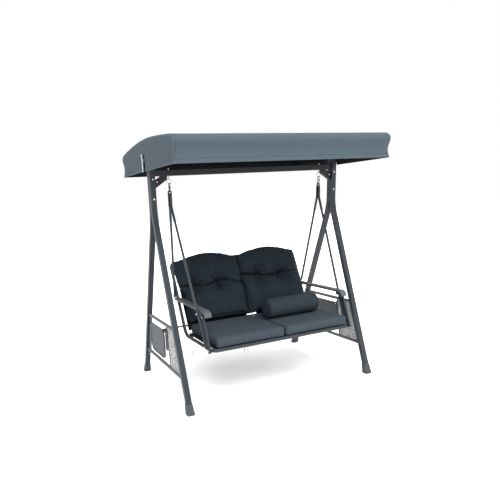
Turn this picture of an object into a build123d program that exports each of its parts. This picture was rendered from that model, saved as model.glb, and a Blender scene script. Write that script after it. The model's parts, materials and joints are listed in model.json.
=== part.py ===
from build123d import *
import math
import os

# Two-seat canopy swing bench. Millimetres, +Z up, +X right, +Y to the back.
# The origin is on the ground, midway between the four feet.

os.makedirs("parts", exist_ok=True)

SIDES = (("left", -1), ("right", 1))

# ---- side frames ----
frame_x = 780.0                # centre plane of each side frame
leg_wide = 40.0                # leg tube, along X
leg_deep = 30.0                # leg tube, front to back
leg_wall = 1.6
post_y = 15.3                  # each leg's axis where the two run side by side
post_top_z = 1752.0
bend_z = 1335.0
foot_y = 489.0
leg_bend_radius = 340.0
leg_slope = (foot_y - post_y) / bend_z
post_inner_x = frame_x - leg_wide / 2
post_outer_x = frame_x + leg_wide / 2

cap_height = 72.0
cap_floor = 5.0
cap_flare_top = 3.0
cap_flare_bottom = 9.0

cross_radius = 12.5
upper_cross_z = 555.0
lower_cross_z = 230.0
strip_wide = 24.0
strip_thick = 10.0
strip_top_y = 262.0
strip_bottom_y = 333.0
rod_radius = 5.0
rod_top_y = -112.0
rod_bottom_y = -154.0
bay_thick = 2.0
stretcher_radius = 7.0
stretcher_z = 390.0
gusset_thick = 4.0

# ---- top beam and braces ----
beam_high = 40.0
beam_deep = 40.0
beam_bottom_z = 1610.0
beam_wall = 2.0
brace_thick = 25.0
brace_low_z = 1527.0           # where each brace meets its post
brace_high_z = 1581.0
brace_inner_z = 1586.0         # the underside at the brace's inner end
brace_top_x = 712.0
brace_bolt = (744.0, 1572.0)
post_bolt_x = 778.0
post_bolt_levels = (1455.0, 1590.0)
plate_thick = 2.5

# ---- canopy ----
canopy_half_x = 827.0
canopy_half_y = 566.5
canopy_hem_z = 1644.0
canopy_shoulder_z = 1806.0
canopy_crown_z = 1858.0
canopy_shoulder_radius = 55.0
canopy_end_radius = 22.0
canopy_skin = 2.0
slit_low_y = -7.0
slit_high_y = 29.0
slit_top_z = 1757.0
tilt_z = 1720.0
canopy_bar_radius = 8.0
canopy_bar_y = 543.0
canopy_bar_z = 1770.0
end_bar_radius = 7.5
end_bar_x = 815.5
end_bar_top_z = 1818.0
ridge_z = 1832.0
bracket_inner_x = 805.5
knob_radius = 14.0
knob_long = 16.0

# ---- hangers ----
hanger_x = 648.0
eye_major = 16.5
eye_wire = 3.5
eye_z = 1570.0
swing_z = eye_z - eye_major    # axis of the swing: the wire at the bottom of each eye
link_wire = 3.0
link_half = 10.0
link_top_z = swing_z + eye_wire + link_wire + 0.4
link_bottom_z = 1500.0
apex_thick = 5.0
apex_wide = 30.0
apex_low_z = 1398.0
hanger_radius = 9.0
hanger_wall = 1.5
hanger_low_x = 603.0
front_hanger_y = -415.0
front_hanger_z = 424.0
rear_hanger_y = 149.0
rear_hanger_z = 698.0

# ---- bench frame ----
bench_x = 580.0
tube_radius = 12.5
tube_wall = 1.5
seat_front_y = -472.0
seat_z = 420.0
bench_bend = (8.0, 415.0)      # y, z of the bend between seat and back
back_top = (267.0, 953.0)      # y, z of the top tube
corner_x = 520.0
bench_corner = 40.0
bench_bend_radius = 80.0
rear_tube_y = -20.0
rear_tube_z = 412.0
sling_x = 566.0
sling_thick = 3.0
back_sling_spans = ((-554.0, -20.0), (70.0, 554.0))   # two panels with a gap between them
armrest_x = 580.0
armrest_wide = 50.0
armrest_thick = 14.0
armrest_top_z = 690.0
armrest_rear_y = 165.0
armrest_nose_y = -420.0
support_x = 600.5
support_wide = 30.0
support_thick = 15.0
ear_x = 601.0                  # ear under each armrest, bolted to the front hanger
ear_y = -318.0
ear_z = 659.0
ear_bolt_x = 623.4

# ---- soft pieces ----
seat_cushion_span = {"left": (-545.0, 6.0), "right": (16.0, 570.0)}
back_cushion_span = {"left": (-553.0, -24.0), "right": (-8.0, 545.0)}
seat_cushion_low = 433.0
seat_cushion_top = 505.0
seat_cushion_front = -475.0
seat_cushion_rear = 1.0
back_cushion_low = 507.0
back_corner_z = 960.0
back_crown_z = 1030.0
back_cushion_round = 40.0
bolster_radius = 79.0
bolster_y = -205.0
bolster_start = 12.0
bolster_end = 462.0

# ---- side trays ----
tray_axis_x = 794.0
tray_axis_z = 505.0
tray_front_y = -80.0
tray_rear_y = 220.0
tray_low_z = 283.0
tray_thick = 12.0
tray_knuckle = 7.0
tray_pin = 3.0
tray_corner = 42.0
bracket_top_z = 522.0
front_bracket = (-110.0, 44.0, 362.0, -89.5)   # plate y, plate width, plate low z, ear y
rear_bracket = (249.0, 40.0, 482.0, 230.5)

# ---- cushion ties: hand-laid routes and diameter ----
tie_diameter = 3.0
long_tie_route = [(-530, 20, 399), (-531, 23, 368), (-529, 19, 331), (-533, 22, 289), (-531, 18, 240)]
outer_tie_route = [(-334, -472, 407), (-336, -474, 396), (-333, -471, 384), (-336, -473, 371)]
inner_tie_route = [(-308, -472, 407), (-306, -474, 395), (-309, -472, 383), (-307, -475, 370)]

back_dir = Vector(0, back_top[0] - bench_bend[0], back_top[1] - bench_bend[1]).normalized()
back_normal = Vector(0, -back_dir.Z, back_dir.Y)


def save(part, name):
    """Label a finished piece and write its STEP file."""
    part.label = name
    export_step(part, f"parts/{name}.step")


def on_back(along, proud):
    """A (y, z) point on the backrest: along it from the bend, and proud of it to the front."""
    point = Vector(0, *bench_bend) + back_dir * along + back_normal * proud
    return point.Y, point.Z


def proud_of_back(point):
    """How far a point stands in front of the backrest's plane."""
    return back_normal.dot(point - Vector(0, *bench_bend))


def leg_y(z):
    """Distance of a leg's axis from the middle plane at height z below the bend."""
    return foot_y - leg_slope * z


def round_tube(points, radii, radius, wall):
    """A round tube, hollow if wall is given, along straight runs joined by arcs."""
    with BuildPart() as tube:
        with BuildLine() as path:
            if radii:
                FilletPolyline(*points, radius=radii)
            else:
                Line(*points)
        with BuildSketch(Plane(origin=path.line @ 0, z_dir=path.line % 0)):
            Circle(radius)
            if wall:
                Circle(radius - wall, mode=Mode.SUBTRACT)
        sweep()
    return tube.part


def leg_body(x, way, wall):
    """One leg on plane x, way -1 to the front or +1 to the rear; solid if wall is 0."""
    below_ground = -20.0
    end = (x, way * leg_y(below_ground), below_ground)
    points = [(x, way * post_y, post_top_z), (x, way * post_y, bend_z), end]
    with BuildPart() as leg:
        with BuildLine() as path:
            FilletPolyline(*points, radius=leg_bend_radius)
        with BuildSketch(Plane(origin=points[0], x_dir=(1, 0, 0), z_dir=(0, 0, -1))):
            Rectangle(leg_wide, leg_deep)
            if wall:
                Rectangle(leg_wide - 2 * wall, leg_deep - 2 * wall, mode=Mode.SUBTRACT)
        sweep()
        split(bisect_by=Plane.XY.offset(cap_floor), keep=Keep.TOP)
    return leg.part


# ---------------------------------------------------------------- side frames
for side, sx in SIDES:
    for end, sy in (("front", -1), ("rear", 1)):
        save(leg_body(sx * frame_x, sy, leg_wall), f"{side}_{end}_leg")

with BuildPart() as foot_caps:
    for sx in (-1, 1):
        for sy in (-1, 1):
            top_y = sy * leg_y(cap_height)
            level_deep = leg_deep * math.sqrt(1 + leg_slope ** 2)
            with BuildSketch(Plane((sx * frame_x, sy * foot_y, 0))):
                RectangleRounded(leg_wide + 2 * cap_flare_bottom, level_deep + 2 * cap_flare_bottom, 8)
            with BuildSketch(Plane((sx * frame_x, top_y, cap_height))):
                RectangleRounded(leg_wide + 2 * cap_flare_top, level_deep + 2 * cap_flare_top, 3)
            loft()
            add(leg_body(sx * frame_x, sy, 0), mode=Mode.SUBTRACT)
save(foot_caps.part, "foot_caps")

for side, sx in SIDES:
    for level, z in (("upper", upper_cross_z), ("lower", lower_cross_z)):
        reach = leg_y(z) + leg_deep
        tube = round_tube([(sx * frame_x, -reach, z), (sx * frame_x, reach, z)], None, cross_radius, tube_wall)
        with BuildPart() as cross_tube:
            add(tube)
            for sy in (-1, 1):
                add(leg_body(sx * frame_x, sy, 0), mode=Mode.SUBTRACT)
            far_pieces = [s for s in cross_tube.solids() if abs(s.center().Y) > leg_y(z)]
            add(far_pieces, mode=Mode.SUBTRACT)
        save(cross_tube.part, f"{side}_{level}_cross_tube")

upper_under = upper_cross_z - cross_radius
lower_over = lower_cross_z + cross_radius
with BuildPart() as rear_strips:
    for sx in (-1, 1):
        with BuildSketch(Plane.YZ.offset(sx * frame_x)):
            with BuildLine():
                half = strip_wide / 2
                Polyline((strip_top_y - half, upper_under), (strip_top_y + half, upper_under),
                         (strip_bottom_y + half, lower_over), (strip_bottom_y - half, lower_over), close=True)
            make_face()
        extrude(amount=strip_thick / 2, both=True)
save(rear_strips.part, "rear_strips")

with BuildPart() as front_rods:
    for sx in (-1, 1):
        ends = [(sx * frame_x, rod_top_y, upper_under - 1), (sx * frame_x, rod_bottom_y, lower_over + 1)]
        add(round_tube(ends, None, rod_radius, 0))
save(front_rods.part, "front_rods")

# The bay panels fill the wedge between each front rod and its front leg.
bay_clear = 1.5
leg_half_level = leg_deep / 2 * math.sqrt(1 + leg_slope ** 2)
with BuildPart() as bay_panels:
    for sx in (-1, 1):
        top_z = upper_under - bay_clear
        low_z = lower_over + bay_clear
        rod_edge = rod_radius + bay_clear
        leg_edge = leg_half_level + bay_clear
        with BuildSketch(Plane.YZ.offset(sx * frame_x)):
            with BuildLine():
                Polyline((rod_top_y - rod_edge, top_z), (-leg_y(top_z) + leg_edge, top_z),
                         (-leg_y(low_z) + leg_edge, low_z), (rod_bottom_y - rod_edge, low_z), close=True)
            make_face()
        extrude(amount=bay_thick / 2, both=True)
save(bay_panels.part, "bay_panels")

with BuildPart() as tube_gussets:
    for sx in (-1, 1):
        gusset_top = lower_cross_z - cross_radius
        gusset_rear = leg_y(gusset_top) - leg_half_level
        gusset_low = gusset_top - 60
        with BuildSketch(Plane.YZ.offset(sx * frame_x)):
            with BuildLine():
                Polyline((gusset_rear - 75, gusset_top), (gusset_rear, gusset_top),
                         (leg_y(gusset_low) - leg_half_level, gusset_low), close=True)
            make_face()
        extrude(amount=gusset_thick / 2, both=True)
save(tube_gussets.part, "tube_gussets")

stretcher_y = leg_y(stretcher_z)
stretcher_ends = [(-post_inner_x, stretcher_y, stretcher_z), (post_inner_x, stretcher_y, stretcher_z)]
save(round_tube(stretcher_ends, None, stretcher_radius, tube_wall), "rear_stretcher")

# ---------------------------------------------------------------- beam, braces, post plates
bolt_hole = 4.2
with BuildPart() as top_beam:
    with BuildSketch(Plane.YZ.offset(-post_inner_x)):
        with Locations((0, beam_bottom_z + beam_high / 2)):
            RectangleRounded(beam_deep, beam_high, 3)
            RectangleRounded(beam_deep - 2 * beam_wall, beam_high - 2 * beam_wall, 1, mode=Mode.SUBTRACT)
    extrude(amount=2 * post_inner_x)
    with BuildSketch(Plane.XY.offset(beam_bottom_z - 1)):
        with Locations((-hanger_x, 0), (hanger_x, 0)):
            Circle(bolt_hole)
    extrude(amount=beam_high + 2, mode=Mode.SUBTRACT)
save(top_beam.part, "top_beam")

brace_end_x = hanger_x + 17
with BuildPart() as beam_braces:
    for sx in (-1, 1):
        with BuildSketch(Plane.XZ):
            with BuildLine():
                Polyline((sx * post_inner_x, brace_low_z), (sx * post_inner_x, brace_high_z),
                         (sx * brace_top_x, beam_bottom_z), (sx * brace_end_x, beam_bottom_z),
                         (sx * brace_end_x, brace_inner_z), close=True)
            make_face()
        extrude(amount=brace_thick / 2, both=True)
save(beam_braces.part, "beam_braces")

with BuildPart() as post_plates:
    for sx in (-1, 1):
        plate_x = sx * (post_outer_x + plate_thick / 2)
        with BuildSketch(Plane.YZ.offset(plate_x)):
            with Locations((0, tilt_z)):
                RectangleRounded(56, 62, 6)
        extrude(amount=plate_thick / 2, both=True)
save(post_plates.part, "post_plates")

post_face_y = post_y + leg_deep / 2
front_heads = []
for sx in (-1, 1):
    for z in post_bolt_levels:
        front_heads.append((sx * post_bolt_x, -post_face_y, z))
rear_heads = [(x, -y, z) for x, y, z in front_heads]
with BuildPart() as post_bolts:
    for x, y, z in front_heads + rear_heads:
        with BuildSketch(Plane((x, y, z), x_dir=(1, 0, 0), z_dir=(0, math.copysign(1, y), 0))):
            Circle(6.5)
        extrude(amount=4)
    for sx in (-1, 1):
        with BuildSketch(Plane((sx * brace_bolt[0], -brace_thick / 2, brace_bolt[1]), x_dir=(1, 0, 0), z_dir=(0, -1, 0))):
            Circle(5)
        extrude(amount=3.5)
    outer_edges = post_bolts.faces().filter_by(Axis.Y).filter_by(
        lambda face: abs(face.center().Y) > post_face_y + 3).edges()
    fillet(outer_edges, radius=2.4)
save(post_bolts.part, "post_bolts")

# ---------------------------------------------------------------- canopy
def canopy_block(inset, floor_z):
    """The canopy's outer form, shrunk by inset on every side, standing on floor_z."""
    half_y = canopy_half_y - inset
    shoulder = canopy_shoulder_z - inset
    with BuildPart() as block:
        with BuildSketch(Plane.YZ.offset(-(canopy_half_x - inset))) as profile:
            with BuildLine():
                Line((-half_y, floor_z), (-half_y, shoulder))
                ThreePointArc((-half_y, shoulder), (0, canopy_crown_z - inset), (half_y, shoulder))
                Line((half_y, shoulder), (half_y, floor_z))
                Line((half_y, floor_z), (-half_y, floor_z))
            make_face()
            fillet(profile.vertices().group_by(Axis.Y)[-1], radius=canopy_shoulder_radius - inset)
        extrude(amount=2 * (canopy_half_x - inset))
        end_edges = block.faces().filter_by(Axis.X).edges().filter_by(
            lambda edge: edge.center().Z > floor_z + 1)
        fillet(end_edges, radius=canopy_end_radius - inset)
    return block.part


with BuildPart() as canopy_cover:
    add(canopy_block(0, canopy_hem_z))
    add(canopy_block(canopy_skin, canopy_hem_z - 10), mode=Mode.SUBTRACT)
    for sx in (-1, 1):
        with BuildSketch(Plane.YZ.offset(sx * canopy_half_x)):
            with BuildLine():
                Polyline((slit_low_y, canopy_hem_z - 5), (slit_high_y, canopy_hem_z - 5),
                         (slit_high_y, slit_top_z), (slit_low_y, slit_top_z), close=True)
            make_face()
        extrude(amount=10, both=True, mode=Mode.SUBTRACT)
save(canopy_cover.part, "canopy_cover")

for side, sx in SIDES:
    with BuildPart() as end_bar:
        with BuildLine() as path:
            ThreePointArc((sx * end_bar_x, -canopy_bar_y - 4, canopy_bar_z), (sx * end_bar_x, 0, end_bar_top_z),
                          (sx * end_bar_x, canopy_bar_y + 4, canopy_bar_z))
        with BuildSketch(Plane(origin=path.line @ 0, z_dir=path.line % 0)):
            Circle(end_bar_radius)
            Circle(end_bar_radius - tube_wall, mode=Mode.SUBTRACT)
        sweep()
    save(end_bar.part, f"canopy_{side}_end_bar")

end_bar_face = end_bar_x - end_bar_radius
for place, y, z, reach in (("front", -canopy_bar_y, canopy_bar_z, end_bar_face),
                           ("rear", canopy_bar_y, canopy_bar_z, end_bar_face),
                           ("ridge", 0.0, ridge_z, bracket_inner_x)):
    ends = [(-reach, y, z), (reach, y, z)]
    save(round_tube(ends, None, canopy_bar_radius, tube_wall), f"canopy_{place}_bar")

stud_radius = 4.0
stud_long = 17.0
stud_clear = 0.08
with BuildPart() as pivot_brackets:
    for sx in (-1, 1):
        with BuildSketch(Plane.YZ.offset(sx * (bracket_inner_x + plate_thick / 2))):
            with BuildLine():
                Polyline((-20, tilt_z), (-20, ridge_z + 4), (20, ridge_z + 4), (20, tilt_z), close=True)
            make_face()
            with Locations((0, tilt_z)):
                Circle(20)
                Circle(stud_radius + stud_clear, mode=Mode.SUBTRACT)
        extrude(amount=plate_thick / 2, both=True)
save(pivot_brackets.part, "pivot_brackets")

plate_face_x = post_outer_x + plate_thick
with BuildPart() as pivot_studs:
    for sx in (-1, 1):
        with BuildSketch(Plane((sx * plate_face_x, 0, tilt_z), x_dir=(0, 1, 0), z_dir=(sx, 0, 0))):
            Circle(stud_radius)
        extrude(amount=stud_long)
save(pivot_studs.part, "pivot_studs")

knob_inner_x = bracket_inner_x + plate_thick + 0.5
for side, sx in SIDES:
    with BuildPart() as knob:
        with BuildSketch(Plane((sx * knob_inner_x, 0, tilt_z), x_dir=(0, 1, 0), z_dir=(sx, 0, 0))):
            Circle(knob_radius)
            with PolarLocations(knob_radius + 3, 6):
                Circle(5, mode=Mode.SUBTRACT)
        extrude(amount=knob_long)
        with BuildSketch(Plane((sx * knob_inner_x, 0, tilt_z), x_dir=(0, 1, 0), z_dir=(sx, 0, 0))):
            Circle(stud_radius + stud_clear)
        extrude(amount=stud_long - plate_thick, mode=Mode.SUBTRACT)
        far_face = knob.faces().filter_by(Axis.X).sort_by(lambda face: abs(face.center().X))[-1]
        fillet(far_face.edges(), radius=1.5)
    save(knob.part, f"{side}_knob")

# ---------------------------------------------------------------- hangers
with BuildPart() as eye_bolts:
    shank_low = eye_z + eye_major
    shank_top = beam_bottom_z + beam_high + 14
    for sx in (-1, 1):
        with Locations(Location((sx * hanger_x, 0, eye_z), (90, 0, 0))):
            Torus(eye_major, eye_wire)
        with BuildSketch(Plane((sx * hanger_x, 0, shank_low))):
            Circle(stud_radius)
        extrude(amount=shank_top - shank_low)
        for nut_z in (beam_bottom_z - 6.5, beam_bottom_z + beam_high):
            with BuildSketch(Plane((sx * hanger_x, 0, nut_z))):
                RegularPolygon(6.5, 6, major_radius=False)
            extrude(amount=6.5)
save(eye_bolts.part, "eye_bolts")

with BuildPart() as quick_links:
    top_arc = link_top_z - link_half
    low_arc = link_bottom_z + link_half
    for sx in (-1, 1):
        with BuildLine(Plane.YZ.offset(sx * hanger_x)) as loop:
            Line((link_half, low_arc), (link_half, top_arc))
            ThreePointArc((link_half, top_arc), (0, link_top_z), (-link_half, top_arc))
            Line((-link_half, top_arc), (-link_half, low_arc))
            ThreePointArc((-link_half, low_arc), (0, link_bottom_z), (link_half, low_arc))
        with BuildSketch(Plane(origin=(sx * hanger_x, link_half, low_arc), z_dir=(0, 0, 1))):
            Circle(link_wire)
        sweep(path=loop.wires()[0])
        with BuildSketch(Plane((sx * hanger_x, -link_half, (top_arc + low_arc) / 2 - 9))):
            RegularPolygon(4.5, 6, major_radius=False)
        extrude(amount=18)
save(quick_links.part, "quick_links")

apex_hole = 6.5
apex_hole_z = link_bottom_z + link_wire + 0.7 - apex_hole
with BuildPart() as apex_plates:
    for sx in (-1, 1):
        with BuildSketch(Plane.XZ):
            with Locations((sx * hanger_x, (apex_hole_z + apex_low_z) / 2)):
                Rectangle(apex_wide, apex_hole_z - apex_low_z)
            with Locations((sx * hanger_x, apex_hole_z)):
                Circle(apex_wide / 2)
                Circle(apex_hole, mode=Mode.SUBTRACT)
        extrude(amount=apex_thick / 2, both=True)
save(apex_plates.part, "apex_plates")

apex_bar_y = apex_thick / 2 + hanger_radius
apex_bar_top = 1484.0
hanger_bend_z = 1402.0
for side, sx in SIDES:
    for end, sy, low_y, low_z in (("front", -1, front_hanger_y, front_hanger_z),
                                  ("rear", 1, rear_hanger_y, rear_hanger_z)):
        points = [(sx * hanger_x, sy * apex_bar_y, apex_bar_top), (sx * hanger_x, sy * apex_bar_y, hanger_bend_z),
                  (sx * hanger_low_x, low_y, low_z)]
        save(round_tube(points, 60, hanger_radius, hanger_wall), f"{side}_{end}_hanger")

# ---------------------------------------------------------------- bench frame
for side, sx in SIDES:
    points = [(sx * corner_x, seat_front_y, seat_z), (sx * bench_x, seat_front_y, seat_z),
              (sx * bench_x, *bench_bend), (sx * bench_x, *back_top), (sx * corner_x, *back_top)]
    save(round_tube(points, [bench_corner, bench_bend_radius, bench_corner], tube_radius, tube_wall), f"{side}_bench_tube")

for name, reach, y, z in (("seat_front_tube", corner_x, seat_front_y, seat_z),
                          ("back_top_tube", corner_x, *back_top),
                          ("seat_rear_tube", bench_x - tube_radius, rear_tube_y, rear_tube_z)):
    save(round_tube([(-reach, y, z), (reach, y, z)], None, tube_radius, tube_wall), name)

sling_low = seat_z + 8
sling_front_y = seat_front_y + 10.5
sling_rear_y = -6.0
with BuildPart() as seat_sling:
    with BuildSketch(Plane.XY.offset(sling_low)) as sheet:
        with Locations((0, (sling_front_y + sling_rear_y) / 2)):
            Rectangle(2 * sling_x, sling_rear_y - sling_front_y)
        fillet(sheet.vertices().group_by(Axis.Y)[0], radius=bench_corner)
    extrude(amount=sling_thick)
save(seat_sling.part, "seat_sling")

back_length = (Vector(0, *back_top) - Vector(0, *bench_bend)).length
with BuildPart() as back_sling:
    for near, far in back_sling_spans:
        with BuildSketch(Plane.YZ.offset(near)):
            with BuildLine():
                Polyline(on_back(32, 8), on_back(32, 8 + sling_thick), on_back(back_length - 12, 8 + sling_thick),
                         on_back(back_length - 12, 8), close=True)
            make_face()
        extrude(amount=far - near)
save(back_sling.part, "back_sling")

armrest_low_z = armrest_top_z - armrest_thick
nose_radius = 42.0
nose_centre = (armrest_nose_y + nose_radius, armrest_top_z - nose_radius)
inner_nose = nose_radius - armrest_thick
diagonal = math.sqrt(0.5)
for side, sx in SIDES:
    with BuildPart() as armrest:
        with BuildSketch(Plane.YZ.offset(sx * armrest_x)):
            with BuildLine():
                cy, cz = nose_centre
                Line((armrest_rear_y, armrest_low_z), (armrest_rear_y, armrest_top_z))
                Line((armrest_rear_y, armrest_top_z), (cy, armrest_top_z))
                ThreePointArc((cy, armrest_top_z), (cy - nose_radius * diagonal, cz + nose_radius * diagonal),
                              (cy - nose_radius, cz))
                Line((cy - nose_radius, cz), (cy - inner_nose, cz))
                ThreePointArc((cy - inner_nose, cz), (cy - inner_nose * diagonal, cz + inner_nose * diagonal),
                              (cy, armrest_low_z))
                Line((cy, armrest_low_z), (armrest_rear_y, armrest_low_z))
            make_face()
        extrude(amount=armrest_wide / 2, both=True)
        fillet(armrest.edges().filter_by(Axis.Z).group_by(Axis.Y)[-1], radius=12)
        with BuildSketch(Plane.YZ.offset(sx * ear_x)):
            with Locations((ear_y, ear_z)):
                RectangleRounded(34, 38, 6)
        extrude(amount=2, both=True)
        through = [(sx * bench_x, *on_back(200, 0)), (sx * bench_x, *on_back(400, 0))]
        add(round_tube(through, None, tube_radius + 0.3, 0), mode=Mode.SUBTRACT)
    save(armrest.part, f"{side}_armrest")

# The supports run from under each armrest's nose down past the seat's front corner.
support_top = (-358.0, armrest_low_z)
support_low = (-466.0, 406.0)
for side, sx in SIDES:
    with BuildPart() as arm_support:
        with BuildSketch(Plane.YZ.offset(sx * support_x)):
            half = support_wide / 2
            with BuildLine():
                Polyline((support_top[0] - half, support_top[1]), (support_top[0] + half, support_top[1]),
                         (support_low[0] + half, support_low[1]), (support_low[0] - half, support_low[1]),
                         close=True)
            make_face()
        extrude(amount=support_thick / 2, both=True)
        fillet(arm_support.edges().filter_by(Axis.X).group_by(Axis.Z)[0], radius=10)
    save(arm_support.part, f"{side}_arm_support")

support_face = support_x + support_thick / 2
bench_heads = [(support_face, -460.0, 422.0), (support_face, -371.0, 642.0),
               (hanger_low_x + 10.6, -408.0, 440.0), (ear_bolt_x, ear_y, ear_z),
               (hanger_low_x + 10.4, 150.5, 712.0)]
with BuildPart() as bench_bolts:
    for sx in (-1, 1):
        for x, y, z in bench_heads:
            with BuildSketch(Plane((sx * x, y, z), x_dir=(0, 1, 0), z_dir=(sx, 0, 0))):
                Circle(6)
            extrude(amount=4)
    fillet(bench_bolts.faces().filter_by(Axis.X).edges(), radius=1.2)
save(bench_bolts.part, "bench_bolts")

# ---------------------------------------------------------------- cushions, bolster, ties
for side, sx in SIDES:
    near, far = seat_cushion_span[side]
    with BuildPart() as seat_cushion:
        with BuildSketch(Plane.XY.offset(seat_cushion_low)):
            with Locations(((near + far) / 2, (seat_cushion_front + seat_cushion_rear) / 2)):
                RectangleRounded(far - near, seat_cushion_rear - seat_cushion_front, 22)
        extrude(amount=seat_cushion_top - seat_cushion_low)
        fillet(seat_cushion.faces().sort_by(Axis.Z)[-1].edges(), radius=14)
    save(seat_cushion.part, f"{side}_seat_cushion")

    near, far = back_cushion_span[side]
    with BuildPart() as back_cushion:
        with BuildSketch(Plane.YZ.offset(near)):
            with BuildLine():
                foot_rear = (39.0, back_cushion_low)
                foot_front = (-122.0, back_cushion_low)
                Line(foot_front, foot_rear)
                Line(foot_rear, on_back(645, 14))
                Spline(on_back(645, 14), on_back(668, 45), on_back(625, 100), on_back(450, 138),
                       on_back(280, 150), foot_front)
            make_face()
        extrude(amount=far - near)
        with BuildSketch(Plane.XZ):
            with BuildLine():
                Line((near, back_cushion_low - 1), (near, back_corner_z))
                ThreePointArc((near, back_corner_z), ((near + far) / 2, back_crown_z), (far, back_corner_z))
                Line((far, back_corner_z), (far, back_cushion_low - 1))
                Line((far, back_cushion_low - 1), (near, back_cushion_low - 1))
            make_face()
        extrude(amount=600, both=True, mode=Mode.INTERSECT)
        side_edges = back_cushion.faces().filter_by(Axis.X).edges()
        fillet([e for e in side_edges if proud_of_back(e.center()) > 60 and e.center().Z > back_cushion_low + 1],
               radius=back_cushion_round)
    save(back_cushion.part, f"{side}_back_cushion")

bolster_z = seat_cushion_top + bolster_radius + 1
with BuildPart() as bolster:
    with BuildSketch(Plane.YZ.offset(bolster_start)):
        with Locations((bolster_y, bolster_z)):
            Circle(bolster_radius)
    extrude(amount=bolster_end - bolster_start)
    fillet(bolster.edges(), radius=6)
save(bolster.part, "bolster")


def corner_radii(points):
    """The largest tangent arc that each corner of a cord's route has room for."""
    radii = []
    for before, corner, after in zip(points, points[1:], points[2:]):
        run_in = Vector(*corner) - Vector(*before)
        run_out = Vector(*after) - Vector(*corner)
        half_turn = math.radians(run_in.get_angle(run_out)) / 2
        radii.append(0.45 * min(run_in.length, run_out.length) / math.tan(half_turn))
    return radii


for name, route in (("long_tie", long_tie_route), ("outer_tie", outer_tie_route), ("inner_tie", inner_tie_route)):
    radii = corner_radii(route)
    print(name, "bend radii", [round(r, 1) for r in radii])
    save(round_tube(route, radii, tie_diameter / 2, 0), name)

# ---------------------------------------------------------------- side trays
pin_front_y = -92.0
pin_rear_y = 236.0
ear_thick = 3.0
with BuildPart() as tray_pins:
    for sx in (-1, 1):
        ends = [(sx * tray_axis_x, pin_front_y, tray_axis_z), (sx * tray_axis_x, pin_rear_y, tray_axis_z)]
        add(round_tube(ends, None, tray_pin, 0))
save(tray_pins.part, "tray_pins")

bracket_face_x = frame_x + strip_thick / 2
with BuildPart() as tray_brackets:
    for sx in (-1, 1):
        for plate_y, plate_wide, plate_low, lug_y in (front_bracket, rear_bracket):
            with BuildSketch(Plane.YZ.offset(sx * (bracket_face_x + 1.5))):
                with Locations((plate_y, (plate_low + bracket_top_z) / 2)):
                    RectangleRounded(plate_wide, bracket_top_z - plate_low, 5)
            extrude(amount=1.5, both=True)
            with BuildSketch(Plane.XZ.offset(-lug_y)):
                with Locations((sx * (tray_axis_x - 1), tray_axis_z)):
                    Rectangle(16, 20)
                with Locations((sx * tray_axis_x, tray_axis_z)):
                    Circle(tray_pin, mode=Mode.SUBTRACT)
            extrude(amount=ear_thick / 2, both=True)
save(tray_brackets.part, "tray_brackets")

tray_rim = 9.0
tray_recess = 3.0
for side, sx in SIDES:
    outer_face = sx * (tray_axis_x + tray_thick / 2)
    mid_y = (tray_front_y + tray_rear_y) / 2
    mid_z = (tray_low_z + tray_axis_z) / 2
    with BuildPart() as tray:
        with BuildSketch(Plane.YZ.offset(sx * tray_axis_x)) as outline:
            with Locations((mid_y, mid_z)):
                Rectangle(tray_rear_y - tray_front_y, tray_axis_z - tray_low_z)
            fillet(outline.vertices().group_by(Axis.Z)[0], radius=tray_corner)
        extrude(amount=tray_thick / 2, both=True)
        with BuildSketch(Plane.YZ.offset(outer_face)) as hollow:
            with Locations((mid_y, mid_z - 6)):
                Rectangle(tray_rear_y - tray_front_y - 2 * tray_rim, tray_axis_z - tray_low_z - 2 * tray_rim - 12)
            fillet(hollow.vertices().group_by(Axis.Z)[0], radius=tray_corner - tray_rim)
        extrude(amount=tray_recess, both=True, mode=Mode.SUBTRACT)
        with BuildSketch(Plane.XZ.offset(-tray_front_y)):
            with Locations((sx * tray_axis_x, tray_axis_z)):
                Circle(tray_knuckle)
        extrude(amount=tray_front_y - tray_rear_y)
        with BuildSketch(Plane.XZ.offset(-tray_front_y + 1)):
            with Locations((sx * tray_axis_x, tray_axis_z)):
                Circle(tray_pin + stud_clear)
        extrude(amount=tray_front_y - tray_rear_y - 2, mode=Mode.SUBTRACT)
        with BuildSketch(Plane.YZ.offset(sx * tray_axis_x)):
            with Locations((mid_y, mid_z)):
                with GridLocations(200, 90, 2, 2):
                    SlotOverall(26, 5, rotation=90)
        extrude(amount=tray_thick, both=True, mode=Mode.SUBTRACT)
    save(tray.part, f"{side}_tray")
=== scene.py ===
"""The looks of a two-seat canopy swing bench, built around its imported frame.

Metres, +Z up, +X right seen from the front, +Y to the back, origin on the ground.
"""

import json
import logging
import math
from collections.abc import Callable, Iterator, Sequence
from contextlib import contextmanager
from dataclasses import dataclass, field
from enum import Enum

import bpy
import numpy as np
from mathutils import Matrix, Vector

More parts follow.
